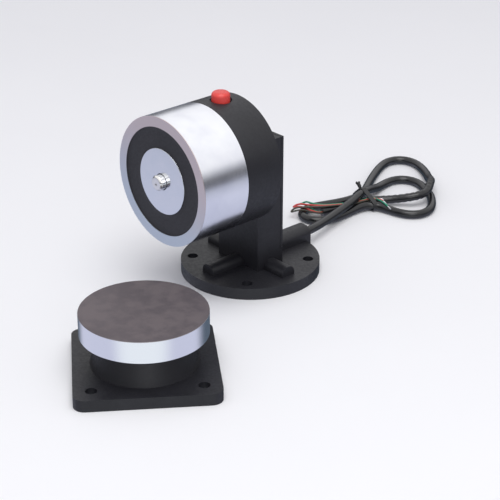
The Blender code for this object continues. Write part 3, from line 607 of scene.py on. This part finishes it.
cable = {
    "diameter": 0.0055,
    "spacing": 0.0020,
    "fixedPoints": 6,
    "rounds": 300,
    "touching": 0.00562,
    "apart": 9,  # points between two that can touch
    "reach": 0.012,  # how near two points start, to be worth watching
    "finished": 0.0016,  # spacing of the points of the finished line
    "push": 0.25,
    "stiffness": 0.5,
    "return": 0.006,
    # millimetres, from the boss over the fold, round the near loop, the fold and the far loop, to its bare end
    "route": [
        (0, 45.15, 10), (0, 49.5, 10), (-1, 54.5, 9.7), (-2.8, 61, 9.1), (-5, 68, 8.7), (-7, 75, 8.5),
        (-9, 82, 8.4), (-10.8, 88.5, 8.4), (-12.7, 95, 8.4), (-14.6, 101.5, 8.5), (-16.7, 108, 8.7),
        (-18.9, 113.5, 8.9), (-21, 119, 9), (-22.8, 125, 8.2), (-25, 132, 5.9), (-27.4, 139.5, 3.9),
        (-29.7, 147, 2.9), (-31.4, 154, 2.75), (-31, 160.8, 2.75), (-27.8, 166, 2.75), (-22.3, 168.7, 2.75),
        (-15.6, 168.8, 2.75), (-8.5, 166.5, 2.75), (0, 162, 2.75), (9, 155, 2.75), (16.5, 146.5, 2.75),
        (20.5, 138.5, 2.75), (19.8, 131, 2.75), (15.4, 125.9, 2.75), (9.5, 123.3, 2.75), (3, 122, 2.75),
        (-3.6, 121.2, 3.0), (-9.4, 119, 3.6), (-12.9, 114, 3.9), (-13.8, 108, 3.5), (-13.7, 101.5, 2.9),
        (-13.2, 94.5, 2.75), (-13.2, 87, 2.75), (-14.4, 79.2, 2.75), (-18.4, 73, 2.75), (-25, 70.4, 2.75),
        (-31.8, 72.8, 2.75), (-35.9, 79, 2.75), (-36.2, 86.4, 2.75), (-33.6, 92.8, 2.75), (-31.2, 99.2, 2.75),
        (-28.9, 105.6, 2.9), (-26.6, 112, 3.4), (-25, 118.5, 3.9), (-27, 125.5, 3.9), (-31.2, 132.6, 3.6),
        (-36.6, 140.5, 3.1), (-42, 149, 2.8), (-47.3, 158, 2.75), (-51.9, 167, 2.75), (-55.2, 175.3, 2.75),
        (-56.8, 182, 2.75), (-54.2, 188.6, 2.75), (-48.4, 192.6, 2.75), (-41, 192.8, 2.75),
        (-32.3, 189.6, 2.9), (-21, 182.4, 4.2), (-10.2, 173, 6.2), (-0.9, 163.2, 7.8), (5.6, 155.2, 8.5),
        (7.6, 147.6, 8.4), (4.6, 141.6, 7.5), (-0.4, 138, 6), (-5, 135, 4.6), (-9.2, 131.8, 3.6),
        (-12.8, 127.6, 3.5), (-15.4, 122.8, 3.7), (-17.6, 117.8, 3.9), (-19.4, 111.5, 3.4),
        (-20.9, 105, 2.9), (-22.3, 98.5, 2.75), (-23.8, 92.2, 2.75), (-25.4, 86, 2.75),
    ],
}


def blendPoints(points, steps=6):
    # a smooth line that follows listed points loosely
    points = [2 * points[0] - points[1], *points, 2 * points[-1] - points[-2]]
    line = []
    for a, b, c, d in zip(points, points[1:], points[2:], points[3:]):
        for step in range(steps):
            t = step / steps
            shareB = 3 * t**3 - 6 * t * t + 4
            shareC = 3 * t + 3 * t * t - 3 * t**3 + 1
            line.append(((1 - t) ** 3 * a + shareB * b + shareC * c + t**3 * d) / 6)
    line.append((points[-3] + 4 * points[-2] + points[-1]) / 6)
    return line


def spaced(points, step):
    # the same line with its points an even step apart
    lengths = [0.0]
    for a, b in zip(points, points[1:]):
        lengths.append(lengths[-1] + (b - a).length)
    count = max(2, round(lengths[-1] / step))
    line, index = [], 0
    for number in range(count + 1):
        wanted = lengths[-1] * number / count
        while index < len(points) - 2 and lengths[index + 1] < wanted:
            index += 1
        share = (wanted - lengths[index]) / max(lengths[index + 1] - lengths[index], 1e-9)
        line.append(points[index].lerp(points[index + 1], min(max(share, 0), 1)))
    return line


def lengthOf(points):
    return sum((b - a).length for a, b in zip(points, points[1:]))


def relaxCable(points):
    # strands that press into each other move apart, kinks ease, and nothing sinks into the floor
    start = [point.copy() for point in points]
    lowest = cable["diameter"] / 2
    count = len(points)
    pairs = [
        (i, j) for i in range(count) for j in range(i + cable["apart"], count)
        if (points[i] - points[j]).length < cable["reach"]
    ]
    for _ in range(cable["rounds"]):
        push = [Vector() for _ in points]
        for i, j in pairs:
            apart = points[i] - points[j]
            distance = apart.length
            if distance < cable["touching"]:
                share = apart * ((cable["touching"] - distance) / max(distance, 1e-6) * cable["push"])
                push[i] += share
                push[j] -= share
        inner = [(points[i - 1] + points[i + 1]) / 2 - points[i] for i in range(1, count - 1)]
        bend = [Vector(), *inner, Vector()]
        for i in range(cable["fixedPoints"], count):
            ease = (bend[i - 1] + bend[i + 1]) / 2 - bend[i] if i < count - 1 else Vector()
            back = cable["return"] * (start[i] - points[i])
            points[i] = points[i] + push[i] - cable["stiffness"] * ease + back
            points[i].z = max(points[i].z, lowest)
    return points


cableLine = spaced(blendPoints([Vector(point) / 1000 for point in cable["route"]]), cable["spacing"])
cableLine = relaxCable(cableLine)
cableLine = spaced(blendPoints(cableLine, 2), cable["finished"])
supplyCable = tube("supply_cable_run", cableLine, cable["diameter"] / 2, 8)
hand(supplyCable, "holder", looks["jacket"], ("supply_cable", "cable_hank"))
cableEnd = cableLine[-1]
cableLength = lengthOf(cableLine)
print(f"supply cable lies {cableLength * 1000:.0f} mm long")
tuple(cableLine[0])

stand = {
    "flangeRadius": 0.0425,
    "flangeHeight": 0.0073,
    "columnHalf": 0.0178,
    "columnFront": -0.0100,
    "columnBack": 0.0081,
    "footBack": 0.0103,
    "columnTop": 0.0897,
    "ledge": 0.0177,
    "wall": 0.0030,
    "ribHalf": 0.0050,
    "ribTop": 0.0133,
    "ribReach": 0.0340,
    "bossHalf": 0.0065,
    "bossTop": 0.0160,
    "bossEnd": 0.0450,
    "holeSpot": 0.0250,
    "rounding": 0.00045,
}
coverSpots = [(x, z) for x in (-0.0117, 0.0117) for z in (0.0218, 0.0828)]
boltSpots = [(x, z) for x in (-0.009, 0.009) for z in (0.055, 0.075)]
wireHole = 0.0650
boardSides = (-0.016, 0.016)


def fixingHoles(spot):
    # four cylinders at the corners of a square round the origin
    corners = [(x, y) for x in (-spot, spot) for y in (-spot, spot)]
    return [rod("fixing", fixingRadius, (x, y, -0.002), (x, y, 0.012), 48) for x, y in corners]


def buildStand():
    size = stand
    half, reach, top = size["ribHalf"], size["ribReach"], size["ribTop"]
    radius, height = size["flangeRadius"], size["flangeHeight"]
    piece = turned("floor_stand_casting", [(0, 0), (radius, 0), (radius, height), (0, height)])
    wide, front = size["columnHalf"], size["columnFront"]
    column = block("column", (-wide, front, 0.003), (wide, size["columnBack"], size["columnTop"]))
    foot = block("foot", (-wide, 0.004, 0.003), (wide, size["footBack"], size["ledge"]))
    ribs = [
        roundTop(block("ribFront", (-half, -reach, 0.002), (half, -0.005, top)), half * 0.92, 1),
        roundTop(block("ribRight", (0.010, -half, 0.002), (reach, half, top)), half * 0.92, 0),
        roundTop(block("ribLeft", (-reach, -half, 0.002), (-0.010, half, top)), half * 0.92, 0),
    ]
    side = size["bossHalf"]
    boss = block("boss", (-side, 0.004, 0.002), (side, size["bossEnd"], size["bossTop"]))
    roundTop(boss, side * 0.8, 1)
    weld(piece, column, foot, boss, *ribs)
    inside, frontWall = wide - size["wall"], front + size["wall"]
    ceiling = size["columnTop"] - size["wall"]
    carve(
        piece,
        block("hollow", (-inside, frontWall, 0.0065), (inside, 0.0051, ceiling)),
        block("opening", (-inside, 0.0010, size["ledge"] + 0.0009), (inside, 0.020, ceiling)),
    )
    posts = [
        rod("post", 0.0031, (x, frontWall - 0.001, z), (x, size["columnBack"], z), 24) for x, z in coverSpots
    ]
    weld(piece, *posts)
    holes = fixingHoles(size["holeSpot"])
    holes += [rod("pilot", 0.0014, (x, -0.002, z), (x, 0.012, z), 16) for x, z in coverSpots]
    holes += [rod("bolt", boltRadius, (x, front - 0.002, z), (x, front + 0.005, z), 24) for x, z in boltSpots]
    before, behind = front - 0.002, front + 0.005
    holes.append(rod("wirePass", wirePassRadius, (0, before, wireHole), (0, behind, wireHole), 24))
    holes.append(rod("cableBore", 0.00305, (0, 0, cableHeight), (0, 0.048, cableHeight), 32))
    holes.append(rod("bushRoom", 0.0048, (0, 0.0410, cableHeight), (0, 0.048, cableHeight), 48))
    carve(piece, *holes)
    softenEdges(piece, size["rounding"])
    smooth(piece)
    hand(piece, "holder", looks["casting"], ("floor_stand",))


def buildRearCover():
    wide = stand["columnHalf"]
    cover = block("rear_cover_plate", (-wide, 0.0084, 0.0180), (wide, 0.0103, stand["columnTop"]))
    seatShape = [
        (0, 0.0004), (0.0031, 0.0004), (0.0031, -0.0001), (0.0017, -0.0015), (0.0017, -0.004), (0, -0.004),
    ]
    seats = [turned("seat", seatShape, (x, 0.0103, z), levelBack, 32) for x, z in coverSpots]
    carve(cover, *seats)
    softenEdges(cover, 0.0003)
    smooth(cover)
    hand(cover, "holder", looks["casting"], ("rear_cover",))
    screwShape = [
        (0, 0), (0.00255, 0), (0.0027, -0.00012), (0.0011, -0.0016), (0.0011, -0.0086), (0.0007, -0.009),
        (0, -0.009),
    ]
    screw = turned("cover_screw_cross", screwShape, steps=48)
    for turn in (0, 90):
        bar = block("bar", (-0.0013, -0.00024, -0.0008), (0.0013, 0.00024, 0.001))
        settle(bar, turn=(0, 0, math.radians(turn)))
        carve(screw, bar)
    softenEdges(screw, 0.00006, 1)
    for number, (x, z) in enumerate(coverSpots, 1):
        copy = screw.copy()
        copy.data = screw.data.copy()
        copy.name = f"cover_screw_head_{number}"
        bpy.context.scene.collection.objects.link(copy)
        settle(copy, (x, 0.0102, z), (levelBack[0], math.radians(17 * number), 0))
        smooth(copy)
        hand(copy, "holder", looks["screw"], (f"cover_screw_{number}",))
    bpy.data.objects.remove(screw, do_unlink=True)


head = {
    "radius": 0.0386,
    "rear": 0.0103,
    "floor": 0.0143,
    "split": 0.0357,
    "face": 0.0680,
    "wall": 0.0030,
    "bore": 0.0324,
    "poleRadius": 0.01975,
    "gap": 0.0003,
}
button = {"y": -0.0230, "radius": 0.0055, "top": 0.1208, "crown": 0.0022, "recess": 0.0066}


def buildHousing():
    radius, inner = head["radius"], head["radius"] - head["wall"]
    mouth = head["split"] - head["gap"] / 2
    place = (0, 0, axisHeight)
    piece = turned("barrel_housing_shell", [
        (0, head["floor"]), (inner, head["floor"]), (inner, mouth), (radius, mouth), (radius, head["rear"]),
        (0, head["rear"]),
    ], place, levelForward, 176)
    bosses = [rod("bolt", 0.0050, (x, -0.0138, z), (x, -0.0327, z), 32) for x, z in boltSpots]
    ledges = [
        block("ledge", (side - 0.003, -0.0220, 0.0840), (side + 0.003, -0.0138, 0.0897))
        for side in boardSides
    ]
    weld(piece, *bosses, *ledges)
    holes = [rod("bore", boltRadius, (x, -0.0093, z), (x, -0.034, z), 24) for x, z in boltSpots]
    holes += [rod("boardPilot", 0.0015, (x, -0.019, 0.085), (x, -0.019, 0.091), 16) for x in boardSides]
    holes.append(rod("wireHole", wirePassRadius, (0, -0.0093, wireHole), (0, -0.0153, wireHole), 24))
    y, clear = button["y"], button["radius"] + 0.0003
    holes.append(rod("buttonHole", clear, (0, y, 0.105), (0, y, 0.125), 64))
    holes.append(rod("buttonRecess", button["recess"], (0, y, 0.1146), (0, y, 0.125), 64))
    carve(piece, *holes)
    softenEdges(piece, 0.0005)
    smooth(piece)
    hand(piece, "holder", looks["casting"], ("barrel_housing",))


def buildMagnet():
    radius, face, gap = head["radius"], head["face"], head["gap"]
    inner = radius - head["wall"] - gap
    seam = head["split"] + gap / 2
    place = (0, 0, axisHeight)
    pot = turned("magnet_pot_shell", [
        (0, 0.04385), (head["bore"], 0.04385), (head["bore"], face), (radius, face), (radius, seam),
        (inner, seam), (inner, 0.0330), (0, 0.0330),
    ], place, levelForward, 192)
    carve(pot, *[rod("thread", boltRadius, (x, -0.032, z), (x, -0.041, z), 24) for x, z in boltSpots])
    leadHeight = axisHeight + 0.020
    leads = [
        rod("lead", 0.0014, (x, -0.032, leadHeight), (x, -0.045, leadHeight), 16) for x in (-0.017, 0.017)
    ]
    carve(pot, *leads)
    softenEdges(pot, 0.00045, 3)
    smooth(pot)
    hand(pot, "holder", looks["zinc"], ("magnet_pot",))

    outer, inside = head["bore"] - gap / 3, head["poleRadius"] + gap / 3
    low = face - 0.0008
    ring = turned("potting_resin_ring", [
        (outer, face - 0.0004), (outer - 0.0007, low), (0.0290, low - 0.0001), (0.0260, low - 0.00015),
        (0.0230, low - 0.0001), (inside + 0.0007, low), (inside, face - 0.0004), (inside, 0.0630),
        (outer, 0.0630),
    ], place, levelForward, 144, closed=True)
    smooth(ring, 40)
    hand(ring, "holder", looks["potting"], ("potting_ring",))

    pole, hole = head["poleRadius"], 0.0049
    shares = (0, 0.2, 0.4, 0.6, 0.8, 1.0)
    crown = [(hole + (pole - hole) * share, face - 0.00030 * share**2) for share in shares]
    shank = [(pole, 0.04415), (0.0065, 0.04415), (0.0065, 0.058), (hole, 0.058)]
    core = turned("pole_core_face", crown + shank, place, levelForward, 160, closed=True)
    softenEdges(core, 0.00025, 3)
    smooth(core, 40)
    hand(core, "holder", looks["pole"], ("pole_core",))

    tip, side = face + 0.0040, 0.0046
    pin = turned("ejector_pin_turned", [
        (0, tip - 0.0006), (0.0011, tip), (side - 0.0010, tip), (side, tip - 0.0010), (side, 0.0577),
        (0.0062, 0.0577), (0.0062, 0.0547), (0.0022, 0.0547), (0.0022, 0.0486), (0, 0.0486),
    ], place, levelForward, 72)
    softenEdges(pin, 0.0002, 2, 25)
    smooth(pin, 40)
    hand(pin, "ejector", looks["pin"], ("ejector_pin",))


def buildButton():
    radius, crown, top = button["radius"], button["crown"], button["top"]
    dome = [(0, top), (radius * 0.35, top - 0.00006)]
    for angle in range(10, 91, 16):
        turn = math.radians(angle)
        dome.append((radius - crown + crown * math.sin(turn), top - 0.0001 - crown + crown * math.cos(turn)))
    body = [
        (radius, 0.1118), (0.00675, 0.1118), (0.00675, 0.1100), (0.0040, 0.1100), (0.0040, 0.1170),
        (0, 0.1170),
    ]
    cap = turned("button_cap_moulded", dome + body, (0, button["y"], 0), steps=96)
    softenEdges(cap, 0.0002, 2, 50)
    smooth(cap, 45)
    hand(cap, "release_button", looks["red"], ("button_cap",))


keeper = {
    "place": (0.0558, -0.1266, 0),
    "turn": math.radians(54.3),
    "plate": 0.0794,
    "height": 0.00685,
    "corner": 0.0065,
    "fixing": 0.0298,
    "foot": 0.0300,
    "neck": 0.0260,
    "top": 0.0190,
    "discRadius": 0.0354,
    "discBottom": 0.0245,
    "discTop": 0.03757,
}


def buildKeeper():
    size = keeper
    half, corner, height = size["plate"] / 2, size["corner"], size["height"]
    base = block("keeper_base_casting", (-half, -half, 0), (half, half, height))
    bevelEdges(base, lambda a, b: abs(a.z - b.z) > height / 2, corner, 10)
    neck, foot, top = size["neck"], size["foot"], size["top"]
    pedestal = turned("pedestal", [
        (0, top), (neck, top), (neck + 0.0006, top - 0.0010), (foot, height), (foot, 0.002), (0, 0.002),
    ])
    weld(base, pedestal)
    ball, middle = 0.0098, 0.0140
    socket = [(0, 0.0220)]
    for angle in range(30, 91, 10):
        turn = math.radians(angle)
        socket.append((ball * math.sin(turn), middle + ball * math.cos(turn)))
    socket.insert(1, (socket[1][0], 0.0220))
    socket += [(ball, 0.003), (0, 0.003)]
    carve(base, turned("socket", socket, steps=48), rod("recess", 0.0158, (0, 0, -0.002), (0, 0, 0.0053), 64))
    carve(base, *fixingHoles(size["fixing"]))
    pilots = []
    capScrewRadius = 0.0126
    for number in range(3):
        turn = math.radians(90 + 120 * number)
        x, y = capScrewRadius * math.cos(turn), capScrewRadius * math.sin(turn)
        pilots.append(rod("pilot", 0.0015, (x, y, 0.002), (x, y, 0.012), 16))
    carve(base, *pilots)
    softenEdges(base, 0.0006, 3)
    settle(base, size["place"], (0, 0, size["turn"]))
    smooth(base)
    hand(base, "keeper", looks["casting"], ("keeper_base",))

    top = size["top"] + 0.0003
    ring = turned("buffer_ring_moulded", [(0.0220, 0.0212), (0.0220, top), (0.0160, top), (0.0160, 0.0212)],
                  size["place"], steps=96, closed=True)
    softenEdges(ring, 0.0006, 3)
    smooth(ring)
    hand(ring, "keeper", looks["rubber"], ("buffer_ring",))


def buildArmature():
    radius, low, top = keeper["discRadius"], keeper["discBottom"], keeper["discTop"]
    neck = 0.0042
    disc = turned("armature_disc_turned", [
        (0, top), (radius, top), (radius, low), (0.0240, low), (0.0236, low + 0.0008), (0.0110, low + 0.0008),
        (0.0106, low), (neck, low), (neck, 0.0335), (0, 0.0335),
    ], keeper["place"], steps=192)
    softenEdges(disc, 0.00055, 3)
    smooth(disc)
    hand(disc, "armature", looks["disc"], ("armature_disc",))


tie = {
    "place": (-0.0178, 0.1186, 0),
    "turn": math.radians(-8),
    "width": 0.0034,
    "thickness": 0.0007,
    "snug": 0.0001,
    "points": 96,
    "tailRadius": 0.00068,
    "twistRadius": 0.00062,
    "twistStep": math.radians(24),
    "twistRise": 0.00016,  # along the twist at each step, and outward once the ends part
    "twistSteps": 25,
    "partedAfter": 19,
}
across = Vector((math.cos(tie["turn"]), math.sin(tie["turn"]), 0))
along = Vector((-math.sin(tie["turn"]), math.cos(tie["turn"]), 0))
gate = Vector(tie["place"])
strands = []  # where the cable passes the tie: (across, height, its radius)
for a, b in zip(cableLine, cableLine[1:]):
    if (a - gate).dot(along) * (b - gate).dot(along) <= 0 and abs((a - gate).dot(across)) < 0.015:
        strands.append(((a - gate).dot(across), a.z, cable["diameter"] / 2))
highest = max(strands, key=lambda strand: strand[1])
wires = {
    "radius": 0.0006,
    "tipLength": 0.0050,
    "spacing": 0.0008,
    "beside": 0.0012,  # from one wire to the next where they lie side by side
    # name: how far aside it leaves the jacket, its loop's heading in degrees and reach, where its tip ends
    "lanes": {
        "green": (-0.0013, 177, 0.0172, (0.0050, 0.1190, 0.0055)),
        "red": (0.0, 200, 0.0182, (-0.0020, 0.1225, 0.0056)),
        "black": (0.0013, 226, 0.0178, (-0.0075, 0.1252, 0.0058)),
    },
}


def buildBush():
    radius, bore = 0.0045, cable["diameter"] / 2 + 0.00005
    bush = turned("cable_bush_moulded", [
        (radius, 0.0413), (radius, 0.0440), (radius - 0.0009, 0.0447), (bore, 0.0447), (bore, 0.0413),
    ], (0, 0, cableHeight), levelBack, 72, closed=True)
    softenEdges(bush, 0.0002)
    smooth(bush)
    hand(bush, "holder", looks["rubber"], ("cable_bush",))


def buildTie():
    clearSelection()
    bpy.ops.mesh.primitive_circle_add(vertices=tie["points"], radius=0.01)
    band = bpy.context.object
    band.name = "cable_tie_twist"
    for number, vertex in enumerate(band.data.vertices):
        angle = fullTurn * number / tie["points"]
        right, up = math.cos(angle), math.sin(angle)
        x, z, radius = max(strands, key=lambda strand: strand[0] * right + strand[1] * up + strand[2])
        reach = radius + tie["snug"]
        spot = gate + across * (x + reach * right) - along * tie["width"] / 2
        spot.z = max(z + reach * up, tie["thickness"] + 0.00004)
        vertex.co = spot
    selectOnly(band)
    bpy.ops.object.mode_set(mode="EDIT")
    bpy.ops.mesh.select_all(action="SELECT")
    bpy.ops.mesh.extrude_edges_move(TRANSFORM_OT_translate={"value": along * tie["width"]})
    bpy.ops.object.mode_set(mode="OBJECT")
    cleanMesh(band)
    applyModifier(band, "SOLIDIFY", thickness=tie["thickness"], offset=1)
    softenEdges(band, 0.00022, 2)

    # the two ends are twisted together on the far upper side and stand off as short tails
    lean = (across * -0.72 + Vector((0, 0, 0.69))).normalized()
    sideways = lean.cross(along).normalized()
    root = gate + across * (highest[0] - 0.0030) + Vector((0, 0, highest[1] + 0.0026))
    tails = []
    for start in (0, math.pi):
        line = []
        for step in range(tie["twistSteps"]):
            angle = start + step * tie["twistStep"]
            spread = tie["twistRadius"] + max(step - tie["partedAfter"], 0) * tie["twistRise"]
            offset = along * (spread * math.cos(angle)) + sideways * (spread * math.sin(angle))
            line.append(root + lean * (step * tie["twistRise"]) + offset)
        tails.append(tubeMesh("tail", line, tie["tailRadius"], 2))
    joinPieces(band, tails)
    smooth(band, 40)
    hand(band, "holder", looks["tie"], ("cable_tie",))


def buildWires():
    radius = wires["radius"]
    out = (cableLine[-1] - cableLine[-4]).normalized()
    near = Vector((-out.y, out.x, 0))
    fold = Vector((-0.0250, 0.0820, 0))

    def roundFold(reach, heading, height):
        turn = math.radians(heading)
        return fold + Vector((reach * math.cos(turn), reach * math.sin(turn), height))

    for number, (name, (lane, heading, reach, tipEnd)) in enumerate(wires["lanes"].items()):
        side = near * lane
        # out of the jacket, over the fold, round a short loop beyond it and back over the fold
        points = [
            cableEnd + side * 0.7 - out * 0.0004, cableEnd + side * 0.8 + out * 0.0020,
            roundFold(0.0052, heading + 8, 0.0046), roundFold(0.0095, heading + 8, 0.0064),
            roundFold(0.0138, heading + 9, 0.0064), roundFold(reach - 0.0008, heading + 6, 0.0050),
            roundFold(reach, heading, 0.0040), roundFold(reach - 0.0008, heading - 6, 0.0050),
            roundFold(0.0138, heading - 9, 0.0066), roundFold(0.0095, heading - 9, 0.0068),
        ]
        shift = number * wires["beside"]
        # then along the end strand and through the tie
        points += [
            Vector((-0.0262 + shift, 0.0895, 0.0064)), Vector((-0.0236 + shift, 0.0970, 0.0061)),
            Vector((-0.0190 + shift, 0.1050, 0.0058 - shift * 0.2)),
            Vector((-0.0160 + shift, 0.1115, 0.0061 + shift * 0.5)),
            Vector((-0.0152 + shift, 0.1185, 0.0069 - shift * 0.3)),
            Vector((-0.0130 + shift * 1.3, 0.1225, 0.0066)),
        ]
        tip = Vector(tipEnd)
        points += [points[-1].lerp(tip, 0.5) + Vector((0, 0.0012, 0.0006)), tip]
        line = spaced(blendPoints(points, 8), wires["spacing"])
        bare = round(wires["tipLength"] / wires["spacing"])
        wire = tube(f"wire_{name}_run", line[:-bare + 1], radius, 4)
        strand = tubeMesh(f"wire_{name}_tip", line[-bare:], radius * 0.62, 3)
        smooth(strand, 50)
        hand(wire, "holder", looks["wire" + name.capitalize()], ("wire_" + name,))
        hand(strand, "holder", looks["tinned"])
        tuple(cableEnd)
        round(lengthOf(line[:-bare + 1]), 4)


for make in (buildStand, buildRearCover, buildHousing, buildMagnet, buildButton, buildKeeper, buildArmature,
             buildBush, buildTie, buildWires):
    make()
    print(make.__name__, "done")
